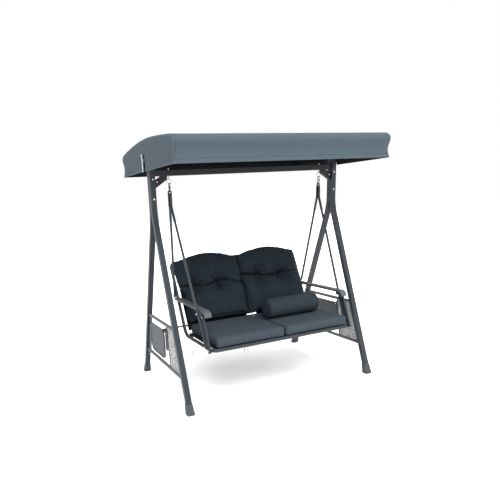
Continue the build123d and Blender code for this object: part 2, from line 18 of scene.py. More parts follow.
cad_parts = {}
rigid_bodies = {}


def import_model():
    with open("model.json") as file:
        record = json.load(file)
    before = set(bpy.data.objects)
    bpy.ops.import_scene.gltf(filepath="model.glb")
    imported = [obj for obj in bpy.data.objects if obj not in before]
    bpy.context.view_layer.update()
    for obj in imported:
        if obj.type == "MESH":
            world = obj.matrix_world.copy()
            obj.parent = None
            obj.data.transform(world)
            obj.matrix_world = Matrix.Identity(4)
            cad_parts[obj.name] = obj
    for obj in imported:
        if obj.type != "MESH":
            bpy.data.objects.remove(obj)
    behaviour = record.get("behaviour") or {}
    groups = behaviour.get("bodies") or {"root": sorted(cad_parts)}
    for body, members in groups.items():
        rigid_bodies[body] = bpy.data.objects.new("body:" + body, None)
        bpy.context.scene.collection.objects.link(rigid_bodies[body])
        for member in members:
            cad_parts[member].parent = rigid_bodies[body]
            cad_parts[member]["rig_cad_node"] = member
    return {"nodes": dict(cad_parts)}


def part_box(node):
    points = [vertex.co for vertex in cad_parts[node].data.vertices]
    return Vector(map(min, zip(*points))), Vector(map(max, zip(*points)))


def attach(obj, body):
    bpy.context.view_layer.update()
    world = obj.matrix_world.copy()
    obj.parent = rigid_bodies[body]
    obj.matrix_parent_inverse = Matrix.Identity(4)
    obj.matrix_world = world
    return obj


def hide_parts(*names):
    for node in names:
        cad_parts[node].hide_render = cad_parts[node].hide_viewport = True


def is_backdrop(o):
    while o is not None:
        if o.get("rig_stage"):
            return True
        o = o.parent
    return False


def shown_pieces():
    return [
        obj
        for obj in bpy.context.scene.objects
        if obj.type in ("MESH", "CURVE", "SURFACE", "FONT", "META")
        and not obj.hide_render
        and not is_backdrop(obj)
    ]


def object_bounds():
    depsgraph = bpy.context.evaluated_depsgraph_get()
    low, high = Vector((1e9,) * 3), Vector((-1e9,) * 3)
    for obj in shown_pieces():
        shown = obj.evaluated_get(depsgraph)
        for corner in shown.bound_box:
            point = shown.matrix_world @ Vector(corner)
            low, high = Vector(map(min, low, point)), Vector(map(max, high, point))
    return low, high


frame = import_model()

LOG = logging.getLogger("canopy_swing_bench")

Point = tuple[float, float, float]
Number = int | float


class Pick(Enum):
    """What an edit-mode selection is made of."""

    POINT = "VERT"
    EDGE = "EDGE"
    FACE = "FACE"


class Side(Enum):
    """The two ends of the bench."""

    LEFT = -1
    RIGHT = 1


class Body(Enum):
    """The frame's moving bodies."""

    FRAME = "frame"
    CANOPY = "canopy"
    SWING = "swing"


# ------------------------------------------------------------------ materials
class Wire:
    """A number or vector passing through a material, with arithmetic operators."""

    def __init__(self, graph: "Graph", socket: bpy.types.NodeSocket) -> None:
        """Wrap one output socket.

        Args:
            graph: the material graph that the socket belongs to.
            socket: the output socket.
        """
        self.graph = graph
        self.socket = socket

    def __add__(self, other: "Wire | Number") -> "Wire":
        """Returns: the sum."""
        return self.graph.maths("ADD", self, other)

    __radd__ = __add__

    def __sub__(self, other: "Wire | Number") -> "Wire":
        """Returns: this value less the other."""
        return self.graph.maths("SUBTRACT", self, other)

    def __rsub__(self, other: "Wire | Number") -> "Wire":
        """Returns: the other value less this one."""
        return self.graph.maths("SUBTRACT", other, self)

    def __mul__(self, other: "Wire | Number") -> "Wire":
        """Returns: the product."""
        return self.graph.maths("MULTIPLY", self, other)

    __rmul__ = __mul__

    def __pow__(self, other: "Wire | Number") -> "Wire":
        """Returns: this value to the power of the other."""
        return self.graph.maths("POWER", self, other)

    def __abs__(self) -> "Wire":
        """Returns: the size without its sign."""
        return self.graph.maths("ABSOLUTE", self)

    def sine(self) -> "Wire":
        """Returns: the sine of this value."""
        return self.graph.maths("SINE", self)

    def above(self, edge: Number, width: Number) -> "Wire":
        """A soft step from 0 to 1.

        Args:
            edge: where the step is halfway.
            width: the step's width.

        Returns:
            The step, 0 below the edge and 1 above it.
        """
        ramp = self.graph.node(
            "ShaderNodeMapRange",
            {"interpolation_type": "SMOOTHSTEP"},
            {"Value": self, "From Min": edge - width / 2, "From Max": edge + width / 2},
        )
        return Wire(self.graph, ramp.outputs["Result"])

    def line_at(self, place: Number, width: Number) -> "Wire":
        """A soft ridge.

        Args:
            place: the value at the ridge's crest.
            width: how far the ridge reaches to either side.

        Returns:
            1 on the crest, falling to 0 at the width.
        """
        return 1.0 - abs(self - place).above(width / 2, width)


class Graph:
    """A material's node tree, built through one generic method."""

    def __init__(self, name: str) -> None:
        """Start an empty material.

        Args:
            name: the material's name.
        """
        self.material = bpy.data.materials.new(name)
        self.material.use_nodes = True
        self.tree = self.material.node_tree
        self.tree.nodes.clear()

    def node(self, kind: str, settings: dict | None = None, inputs: dict | None = None) -> bpy.types.Node:
        """Add a node.

        Args:
            kind: the node's type.
            settings: its properties, set first.
            inputs: input values or wires by socket name or index.

        Returns:
            The node.
        """
        made = self.tree.nodes.new(kind)
        for key, value in (settings or {}).items():
            setattr(made, key, value)
        for key, value in (inputs or {}).items():
            if isinstance(value, Wire):
                self.tree.links.new(value.socket, made.inputs[key])
            else:
                made.inputs[key].default_value = value
        return made

    def maths(self, operation: str, *values: Wire | Number) -> Wire:
        """Combine values with a Math node.

        Args:
            operation: the Math node's operation.
            values: its operands in order.

        Returns:
            The result.
        """
        made = self.node("ShaderNodeMath", {"operation": operation}, dict(enumerate(values)))
        return Wire(self, made.outputs[0])

    def place(self) -> Wire:
        """Returns: the point in object coordinates."""
        return Wire(self, self.node("ShaderNodeTexCoord").outputs["Object"])

    def axes(self) -> tuple[Wire, Wire, Wire]:
        """Returns: the point's x, y and z in object coordinates."""
        split = self.node("ShaderNodeSeparateXYZ", None, {"Vector": self.place()})
        return tuple(Wire(self, split.outputs[axis]) for axis in "XYZ")

    def noise(self, scale: float, detail: float = 3.0, rough: float = 0.55) -> Wire:
        """Smooth noise from 0 to 1.

        Args:
            scale: how many lumps to a metre.
            detail: octaves.
            rough: how strong the finer octaves are.

        Returns:
            The noise.
        """
        made = self.node(
            "ShaderNodeTexNoise",
            None,
            {"Vector": self.place(), "Scale": scale, "Detail": detail, "Roughness": rough},
        )
        return Wire(self, made.outputs["Fac"])

    def cells(self, scale: float, feature: str = "F1") -> Wire:
        """Distance within cells.

        Args:
            scale: how many cells to a metre.
            feature: the Voronoi feature.

        Returns:
            The distance, about 0 to 1.
        """
        inputs = {"Vector": self.place(), "Scale": scale}
        made = self.node("ShaderNodeTexVoronoi", {"feature": feature}, inputs)
        return Wire(self, made.outputs["Distance"])

    def blend(self, share: Wire | Number, low: Wire | Sequence[float], high: Wire | Sequence[float]) -> Wire:
        """Mix two colours.

        Args:
            share: 0 for the first colour, 1 for the second.
            low: the first colour, linear RGB or a wire.
            high: the second colour, linear RGB or a wire.

        Returns:
            The colour.
        """
        ends = [end if isinstance(end, Wire) else (*end, 1.0) for end in (low, high)]
        made = self.node("ShaderNodeMix", {"data_type": "RGBA"}, {0: share, 6: ends[0], 7: ends[1]})
        return Wire(self, made.outputs[2])

    def bump(self, height: Wire, depth: float, strength: float = 1.0) -> Wire:
        """Turn a height into a normal.

        Args:
            height: the height, about 0 to 1.
            depth: the relief in metres.
            strength: how much of it is used.

        Returns:
            The normal.
        """
        made = self.node(
            "ShaderNodeBump", None, {"Height": height, "Distance": depth, "Strength": strength}
        )
        return Wire(self, made.outputs["Normal"])

    def surface(self, **inputs: Wire | float | Sequence[float]) -> bpy.types.Material:
        """Finish with a Principled surface.

        Args:
            inputs: its inputs by socket name, with underscores for spaces.

        Returns:
            The material.
        """
        named = {key.replace("_", " "): value for key, value in inputs.items()}
        shader = self.node("ShaderNodeBsdfPrincipled", None, named)
        end = self.node("ShaderNodeOutputMaterial")
        self.tree.links.new(shader.outputs[0], end.inputs["Surface"])
        return self.material


def shade(colour: Sequence[float], factor: float) -> tuple[float, ...]:
    """Lighten or darken a colour.

    Args:
        colour: linear RGB.
        factor: what each part is multiplied by.

    Returns:
        The new colour.
    """
    return tuple(min(1.0, part * factor) for part in colour)


@dataclass(frozen=True)
class Coat:
    """A sprayed or powder-coated metal finish."""

    name: str
    colour: Point
    roughness: float = 0.42
    metallic: float = 0.0
    grain: float = 900.0
    relief: float = 0.00012
    gloss: float = 0.28

    def make(self) -> bpy.types.Material:
        """Returns: the material."""
        g = Graph(self.name)
        patches = g.noise(9.0, 4.0)
        fine = g.noise(self.grain, 2.0)
        wear = g.noise(45.0, 5.0, 0.7)
        tone = patches * 0.6 + wear * 0.4
        return g.surface(
            Base_Color=g.blend(tone, shade(self.colour, 0.84), shade(self.colour, 1.16)),
            Roughness=self.roughness + (wear - 0.5) * 0.18,
            Metallic=self.metallic,
            Specular_IOR_Level=self.gloss,
            Normal=g.bump(fine, self.relief, 0.55),
        )


@dataclass(frozen=True)
class Moulded:
    """A moulded resin or rubber finish with a pebbled grain."""

    name: str
    colour: Point
    roughness: float = 0.6
    pebble: float = 420.0
    relief: float = 0.0003
    fleck: float = 0.12

    def make(self) -> bpy.types.Material:
        """Returns: the material."""
        g = Graph(self.name)
        pebbles = g.cells(self.pebble)
        patches = g.noise(14.0, 4.0)
        return g.surface(
            Base_Color=g.blend(
                pebbles * 0.7 + patches * 0.3,
                shade(self.colour, 1 - self.fleck),
                shade(self.colour, 1 + self.fleck),
            ),
            Roughness=self.roughness + (patches - 0.5) * 0.14,
            Normal=g.bump(pebbles, self.relief, 0.6),
        )


@dataclass(frozen=True)
class Weave:
    """A woven cloth, with optional seams at set heights or widths."""

    name: str
    colour: Point
    threads: float = 2600.0
    roughness: float = 0.86
    gloss: float = 0.12
    contrast: float = 0.16
    crumple: float = 0.0016
    crumple_scale: float = 16.0
    seams_z: tuple[float, ...] = ()
    seams_x: tuple[float, ...] = ()

    def make(self) -> bpy.types.Material:
        """Returns: the material."""
        g = Graph(self.name)
        x, y, z = g.axes()
        warp = (x * self.threads).sine() * (y * self.threads + z * self.threads).sine()
        faded = g.noise(6.0, 4.0)
        fibre = g.noise(700.0, 2.0)
        folds = g.noise(self.crumple_scale, 3.0, 0.45)
        height = folds + warp * 0.03
        for level in self.seams_z:
            height = height - z.line_at(level, 0.0035) * 0.8
        for level in self.seams_x:
            height = height - abs(x).line_at(level, 0.004) * 0.9
        return g.surface(
            Base_Color=g.blend(
                faded * 0.55 + fibre * 0.3 + warp * 0.15,
                shade(self.colour, 1 - self.contrast),
                shade(self.colour, 1 + self.contrast),
            ),
            Roughness=self.roughness + (faded - 0.5) * 0.1,
            Specular_IOR_Level=self.gloss,
            Normal=g.bump(height, self.crumple, 0.8),
        )


@dataclass(frozen=True)
class TuftLine:
    """A back cushion's two tufts, as (x, z), and the fold that runs through them."""

    tufts: tuple[tuple[float, float], tuple[float, float]]
    bend: float
    waves: float = 18.0
    swing: float = 0.008

    def slope(self) -> float:
        """Returns: how steeply the fold climbs from tuft to tuft."""
        (x1, z1), (x2, z2) = self.tufts
        return (z2 - z1) / (x2 - x1)

    def level(self, x: float) -> float:
        """Find the fold's height.

        Args:
            x: the place across.

        Returns:
            Its height there, turning up or down past the right tuft.
        """
        (x1, z1), (x2, _) = self.tufts
        ripple = self.swing * math.sin(self.waves * (x - x1))
        return z1 + self.slope() * (x - x1) - ripple + self.bend * max(x - x2, 0.0) ** 2


LEFT_TUFTS = TuftLine(((-0.443, 0.782), (-0.236, 0.790)), -0.6)
RIGHT_TUFTS = TuftLine(((0.135, 0.805), (0.350, 0.790)), 1.9)


@dataclass(frozen=True)
class TuftedCloth:
    """A dark cushion cloth that gathers round its tufts and folds along the line between them, with painted
    shade in the tufts, their rays and the fold, and a painted highlight along the fold's lower lip.
    """

    name: str
    colour: Point
    line: TuftLine
    front_y: float = 0.175
    rays: float = 9.0
    wander: float = 16.0
    pit: float = 0.010
    groove: float = 0.010
    lip: tuple[float, float] = (-0.017, 0.014)
    reach: float = 0.13
    relief: float = 0.011

    def make(self) -> bpy.types.Material:
        """Returns: the material."""
        g = Graph(self.name)
        x, y, z = g.axes()
        front = 1.0 - y.above(self.front_y, 0.1)
        wander = g.noise(7.0, 2.0)
        folds = g.noise(13.0, 3.0, 0.5)
        faded = g.noise(5.0, 3.0)
        fibre = g.noise(700.0, 2.0)
        height = folds * 0.4 + fibre * 0.01
        # painted shade: darker where the fold noise is low, in the hollows of the crumpled cloth
        painted_shade = folds.above(0.42, 0.2) * -0.25 + 0.25
        for across, level in self.line.tufts:
            side, rise = x - across, z - level
            gap = (side * side + rise * rise) ** 0.5
            ray = (g.maths("ARCTAN2", rise, side) * self.rays + wander * self.wander).sine()
            fade = (1.0 - gap.above(self.reach / 2, self.reach)) * front
            pit = 1.0 - gap.above(self.pit, self.pit * 1.4)
            height = height + ray * fade * 0.42 - pit * 0.9
            # painted shade in each tuft's pit and between the rays round it
            painted_shade = painted_shade + (0.5 - ray * 0.5) * fade * 0.62 + pit * 0.8
        (x1, z1), (x2, _) = self.line.tufts
        beyond = g.maths("MAXIMUM", x - x2, 0.0)
        ripple = ((x - x1) * self.line.waves).sine() * self.line.swing
        above = z - (z1 + (x - x1) * self.line.slope()) + ripple - beyond * beyond * self.line.bend
        groove = above.line_at(0.0, self.groove) * front
        lip = above.line_at(*self.lip) * front
        height = height - groove * 0.8 + lip * 0.5
        # painted shade along the fold's groove, and a painted highlight along its lower lip
        painted_shade = painted_shade + groove * 0.85 - lip * 0.3
        cloth = g.blend(faded * 0.6 + fibre * 0.4, shade(self.colour, 0.85), shade(self.colour, 1.4))
        return g.surface(
            # the painted shade darkens the cloth towards 22% of its colour
            Base_Color=g.blend(painted_shade, cloth, shade(self.colour, 0.22)),
            Roughness=0.86 + (faded - 0.5) * 0.1,
            Specular_IOR_Level=0.14,
            Normal=g.bump(height, self.relief, 0.9),
        )


@dataclass(frozen=True)
class SpeckledMesh:
    """A light mesh panel with dark specks."""

    name: str
    light: Point
    dark: Point
    scale: float = 150.0

    def make(self) -> bpy.types.Material:
        """Returns: the material."""
        g = Graph(self.name)
        coarse = g.noise(self.scale, 3.0, 0.7)
        fine = g.noise(self.scale * 2.6, 2.0)
        holes = g.cells(self.scale * 2.2)
        speck = (coarse * 0.62 + fine * 0.38).above(0.52, 0.06)
        return g.surface(
            Base_Color=g.blend(speck, self.light, self.dark),
            Roughness=0.75,
            Normal=g.bump(holes, 0.0006, 0.7),
        )


@dataclass(frozen=True)
class Studio:
    """The plain finish of the floor."""

    name: str
    colour: Point

    def make(self) -> bpy.types.Material:
        """Returns: the material."""
        g = Graph(self.name)
        cloudy = g.noise(0.8, 2.0)
        return g.surface(
            Base_Color=g.blend(cloudy, shade(self.colour, 0.99), self.colour),
            Roughness=0.9,
            Specular_IOR_Level=0.1,
        )


class Finish(Enum):
    """Every finish of the object; the record's slot name is the first part."""

    FRAME = Coat("frame_paint", (0.016, 0.021, 0.027), roughness=0.42)
    # SHADED: the frame paint made darker, painted shade for the parts that sit in shadow under the canopy
    SHADED = Coat("beam_painted_shade", (0.012, 0.014, 0.017), roughness=0.6)
    LIGHT = Coat("light_paint", (0.060, 0.067, 0.075), roughness=0.45)
    ZINC = Coat("zinc", (0.62, 0.63, 0.65), roughness=0.32, metallic=0.95, grain=500.0)
    LINK = Coat("link_steel", (0.05, 0.055, 0.062), roughness=0.38, metallic=0.6)
    FOOT = Moulded("foot_plastic", (0.020, 0.025, 0.031))
    ARMREST = Moulded("armrest_resin", (0.045, 0.050, 0.056), pebble=300.0, relief=0.0006, fleck=0.4)
    KNOB = Moulded("knob_plastic", (0.012, 0.012, 0.014), roughness=0.45)
    TRAY = Moulded("tray_resin", (0.030, 0.036, 0.043), pebble=160.0, relief=0.0008, fleck=0.35)
    MESH = SpeckledMesh("bay_mesh", (0.40, 0.40, 0.39), (0.012, 0.012, 0.012), scale=90.0)
    CANOPY = Weave(
        "canopy_fabric",
        (0.052, 0.069, 0.082),
        seams_z=(1.671,),
        seams_x=(0.803,),
        contrast=0.08,
        crumple=0.004,
        crumple_scale=5.0,
    )
    # painted shade: the canopy's inner face made near-black, as it lies in shadow under the canopy
    UNDERSIDE_SHADE = Weave("canopy_underside_shade", (0.005, 0.006, 0.0075))
    TRIM = Weave("slit_binding", (0.5, 0.52, 0.54))
    SLING = Weave("sling_fabric", (0.008, 0.0095, 0.0115), threads=1800.0)
    # the back cushions' cloth, with painted shade in its tufts and fold and a painted highlight along the
    # fold's lip
    LEFT_BACK = TuftedCloth("left_back_fabric", (0.0068, 0.0118, 0.0165), LEFT_TUFTS)
    RIGHT_BACK = TuftedCloth("right_back_fabric", (0.0068, 0.0118, 0.0165), RIGHT_TUFTS)
    SEAT = Weave("seat_fabric", (0.031, 0.041, 0.051), contrast=0.1, crumple=0.0024)
    BOLSTER = Weave("bolster_fabric", (0.017, 0.024, 0.031), crumple=0.004, crumple_scale=9.0)
    TIE = Weave("tie_cord", (0.09, 0.095, 0.1), threads=5000.0, crumple=0.0004)

    def slot(self) -> str | None:
        """Returns: the record's slot that the finish belongs to."""
        shared = {
            "canopy_underside_shade": "canopy_fabric",
            "slit_binding": "canopy_fabric",
            "beam_painted_shade": "frame_paint",
            "bolster_fabric": "cushion_fabric",
            "left_back_fabric": "cushion_fabric",
            "right_back_fabric": "cushion_fabric",
        }
        return shared.get(self.value.name, self.value.name)


class Paints:
    """The materials, each made once when first asked for."""

    def __init__(self) -> None:
        """Start with no material made."""
        self.made: dict[str, bpy.types.Material] = {}

    def get(self, finish: Finish) -> bpy.types.Material:
        """Find or make a finish's material.

        Args:
            finish: the finish.

        Returns:
            Its material.
        """
        name = finish.value.name
        if name not in self.made:
            self.made[name] = finish.value.make()
        return self.made[name]

    def give(self, item: bpy.types.Object, *finishes: Finish) -> None:
        """Replace an object's materials.

        Args:
            item: the object.
            finishes: its finishes, in slot order.
        """
        item.data.materials.clear()
        for finish in finishes:
            item.data.materials.append(self.get(finish))
        if "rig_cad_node" not in item:
            finishes[0].slot()


PAINTS = Paints()


# ------------------------------------------------------------------ mesh tools
def focus(item: bpy.types.Object) -> None:
    """Select one object alone and make it active.

    Args:
        item: the object.
    """
    bpy.ops.object.select_all(action="DESELECT")
    item.select_set(True)
    bpy.context.view_layer.objects.active = item


@contextmanager
def editing(item: bpy.types.Object, kind: Pick = Pick.POINT, everything: bool = True) -> Iterator[None]:
    """Edit mode on one object.

    Args:
        item: the object.
        kind: the selection mode.
        everything: select all on entry; otherwise the stored selection stays.
    """
    focus(item)
    bpy.context.tool_settings.mesh_select_mode = [kind is each for each in Pick]
    bpy.ops.object.mode_set(mode="EDIT")
    if everything:
        bpy.ops.mesh.select_all(action="SELECT")
    yield
    bpy.ops.object.mode_set(mode="OBJECT")


def choose(item: bpy.types.Object, kind: Pick, test: Callable[[Vector], bool]) -> int:
    """Select the points, edges or faces whose middle passes a test.

    Args:
        item: the mesh object, in object mode.
        kind: what is selected.
        test: given the middle, says whether it is selected.

    Returns:
        How many were selected.
    """
    mesh = item.data
    places = [v.co for v in mesh.vertices]
    if kind is Pick.POINT:
        wanted = [test(co) for co in places]
        group = mesh.vertices
    elif kind is Pick.EDGE:
        wanted = [test((places[e.vertices[0]] + places[e.vertices[1]]) / 2) for e in mesh.edges]
        group = mesh.edges
    else:
        wanted = [test(f.center) for f in mesh.polygons]
        group = mesh.polygons
    for other in (mesh.vertices, mesh.edges, mesh.polygons):
        other.foreach_set("select", [False] * len(other))
    group.foreach_set("select", wanted)
    if kind is not Pick.POINT:
        corners = {v for part, on in zip(group, wanted) if on for v in part.vertices}
        mesh.vertices.foreach_set("select", [v.index in corners for v in mesh.vertices])
    mesh.update()
    return sum(wanted)


def box_mesh(name: str, low: Point, high: Point) -> bpy.types.Object:
    """A box between two corners, at the origin with its place in its mesh.

    Args:
        name: the object's name.
        low: the lowest corner.
        high: the highest corner.

    Returns:
        The object.
    """
    bpy.ops.object.select_all(action="DESELECT")
    middle = (Vector(low) + Vector(high)) / 2
    bpy.ops.mesh.primitive_cube_add(size=1, location=middle)
    item = bpy.context.active_object
    item.name = item.data.name = name
    item.scale = Vector(high) - Vector(low)
    bpy.ops.object.transform_apply(location=True, rotation=True, scale=True)
    return item


def wire_mesh(name: str, points: Sequence[Point], closed: bool = False) -> bpy.types.Object:
    """A line of edges through points.

    Args:
        name: the object's name.
        points: the corners in order.
        closed: join the last to the first.

    Returns:
        The mesh object.
    """
    curve = bpy.data.curves.new(name, "CURVE")
    curve.dimensions = "3D"
    spline = curve.splines.new("POLY")
    spline.points.add(len(points) - 1)
    for knot, place in zip(spline.points, points):
        knot.co = (*place, 1.0)
    spline.use_cyclic_u = closed
    item = bpy.data.objects.new(name, curve)
    bpy.context.scene.collection.objects.link(item)
    focus(item)
    bpy.ops.object.convert(target="MESH")
    return bpy.context.active_object


def tube_mesh(name: str, points: Sequence[Point], radius: float) -> bpy.types.Object:
    """A smooth round tube through points, as a mesh.

    Args:
        name: the object's name.
        points: the route.
        radius: the tube's radius.

    Returns:
        The mesh object.
    """
    curve = bpy.data.curves.new(name, "CURVE")
    curve.dimensions = "3D"
    curve.bevel_depth = radius
    curve.bevel_resolution = 3
    curve.use_fill_caps = True
    spline = curve.splines.new("NURBS")
    spline.points.add(len(points) - 1)
    for knot, place in zip(spline.points, points):
        knot.co = (*place, 1.0)
    spline.order_u = 3
    spline.use_endpoint_u = True
    item = bpy.data.objects.new(name, curve)
    bpy.context.scene.collection.objects.link(item)
    focus(item)
    bpy.ops.object.convert(target="MESH")
    tidy(item)
    return item


def tidy(item: bpy.types.Object, angle: float = 40.0) -> None:
    """Merge doubles, turn faces outwards and shade smoothly.

    Args:
        item: the mesh object.
        angle: edges sharper than this many degrees stay sharp.
    """
    with editing(item):
        bpy.ops.mesh.remove_doubles(threshold=0.00002)
        bpy.ops.mesh.normals_make_consistent(inside=False)
    focus(item)
    bpy.ops.object.shade_smooth_by_angle(angle=math.radians(angle))


def modify(item: bpy.types.Object, kind: str, **settings: object) -> None:
    """Add a modifier and apply it.

    Args:
        item: the object.
        kind: the modifier's type.
        settings: its properties.
    """
    focus(item)
    added = item.modifiers.new(kind.title(), kind)
    for key, value in settings.items():
        setattr(added, key, value)
    bpy.ops.object.modifier_apply(modifier=added.name)


def slice_mesh(item: bpy.types.Object, axis: int, places: Sequence[float]) -> None:
    """Cut a mesh along planes square to an axis, keeping both sides.

    Args:
        item: the mesh object.
        axis: 0, 1 or 2.
        places: where the planes stand on that axis.
    """
    normal = [0.0, 0.0, 0.0]
    normal[axis] = 1.0
    with editing(item):
        for place in places:
            point = [0.0, 0.0, 0.0]
            point[axis] = place
            bpy.ops.mesh.select_all(action="SELECT")
            bpy.ops.mesh.bisect(plane_co=point, plane_no=normal)


def pull(
    item: bpy.types.Object,
    test: Callable[[Vector], bool],
    move: Point,
    reach: float,
    falloff: str = "SMOOTH",
    connected: bool = False,
) -> None:
    """Move some points and draw their neighbours along.

    Args:
        item: the mesh object.
        test: says which points lead.
        move: how far they move.
        reach: how far the pull is felt.
        falloff: how it fades.
        connected: measure the reach along the surface only.
    """
    if not choose(item, Pick.POINT, test):
        LOG.warning("nothing to pull on %s", item.name)
        return
    with editing(item, everything=False):
        bpy.ops.transform.translate(
            value=move,
            use_proportional_edit=True,
            use_proportional_connected=connected,
            proportional_edit_falloff=falloff,
            proportional_size=reach,
        )


def nearest(item: bpy.types.Object, place: Point, count: int = 1) -> set[int]:
    """The points of a mesh closest to a place.

    Args:
        item: the mesh object.
        place: the place.
        count: how many points.

    Returns:
        Their indices.
    """
    gaps = np.linalg.norm(coordinates(item) - np.array(place), axis=1)
    return set(np.argsort(gaps)[:count].tolist())


def coordinates(item: bpy.types.Object) -> np.ndarray:
    """Read a mesh's points.

    Args:
        item: the mesh object.

    Returns:
        One row a point.
    """
    flat = np.zeros(len(item.data.vertices) * 3)
    item.data.vertices.foreach_get("co", flat)
    return flat.reshape(-1, 3)


def inflate(
    item: bpy.types.Object,
    pressure: float,
    cap: float,
    pins: set[int],
    stiffness: float = 12.0,
) -> None:
    """Fill a closed cloth form by simulation, and keep each point near its start.

    Args:
        item: the mesh object.
        pressure: the filling's pressure.
        cap: the furthest a point may end from its start.
        pins: points that stay put.
        stiffness: how little the cloth stretches.
    """
    start = coordinates(item)
    focus(item)
    cloth = item.modifiers.new("Filling", "CLOTH")
    rules = cloth.settings
    rules.quality = 5
    rules.mass = 0.3
    rules.tension_stiffness = stiffness
    rules.compression_stiffness = stiffness
    rules.shear_stiffness = stiffness / 2
    rules.bending_stiffness = 0.6
    rules.use_pressure = True
    rules.uniform_pressure_force = pressure
    rules.effector_weights.gravity = 0.0
    if pins:
        group = item.vertex_groups.new(name="Stitches")
        group.add(sorted(pins), 1.0, "REPLACE")
        rules.vertex_group_mass = group.name
    scene = bpy.context.scene
    for step in range(1, 21):
        scene.frame_set(step)
    bpy.ops.object.modifier_apply(modifier=cloth.name)
    scene.frame_set(1)
    moved = coordinates(item) - start
    lengths = np.linalg.norm(moved, axis=1)
    moved *= np.minimum(1.0, cap / np.maximum(lengths, 1e-9))[:, None]
    item.data.vertices.foreach_set("co", (start + moved).ravel())
    item.data.update()
    LOG.info("%s filled, furthest point moved %.1f mm", item.name, 1000 * lengths.max())


def keep_inside(item: bpy.types.Object, low: Point, high: Point) -> None:
    """Press a mesh flat where it would leave a box.

    Args:
        item: the mesh object.
        low: the box's lowest corner.
        high: the box's highest corner.
    """
    item.data.vertices.foreach_set("co", np.clip(coordinates(item), low, high).ravel())
    item.data.update()


def soften(item: bpy.types.Object, times: int, factor: float = 0.5) -> None:
    """Even out a mesh.

    Args:
        item: the mesh object.
        times: how many passes.
        factor: how strong each pass is.
    """
    modify(item, "SMOOTH", factor=factor, iterations=times)


# ------------------------------------------------------------------ soft parts
@dataclass
class BackPlane:
    """The leaning plane of the backrest, with its own across, along and proud axes."""

    foot_y: float = 0.008
    foot_z: float = 0.415
    top_y: float = 0.267
    top_z: float = 0.953

    def matrix(self) -> Matrix:
        """Returns: the transform from (across, along, proud) to the shared frame."""
        along = Vector((0.0, self.top_y - self.foot_y, self.top_z - self.foot_z)).normalized()
        across = Vector((1.0, 0.0, 0.0))
        proud = across.cross(along)
        turn = Matrix((across, along, proud)).transposed().to_4x4()
        return Matrix.Translation((0.0, self.foot_y, self.foot_z)) @ turn


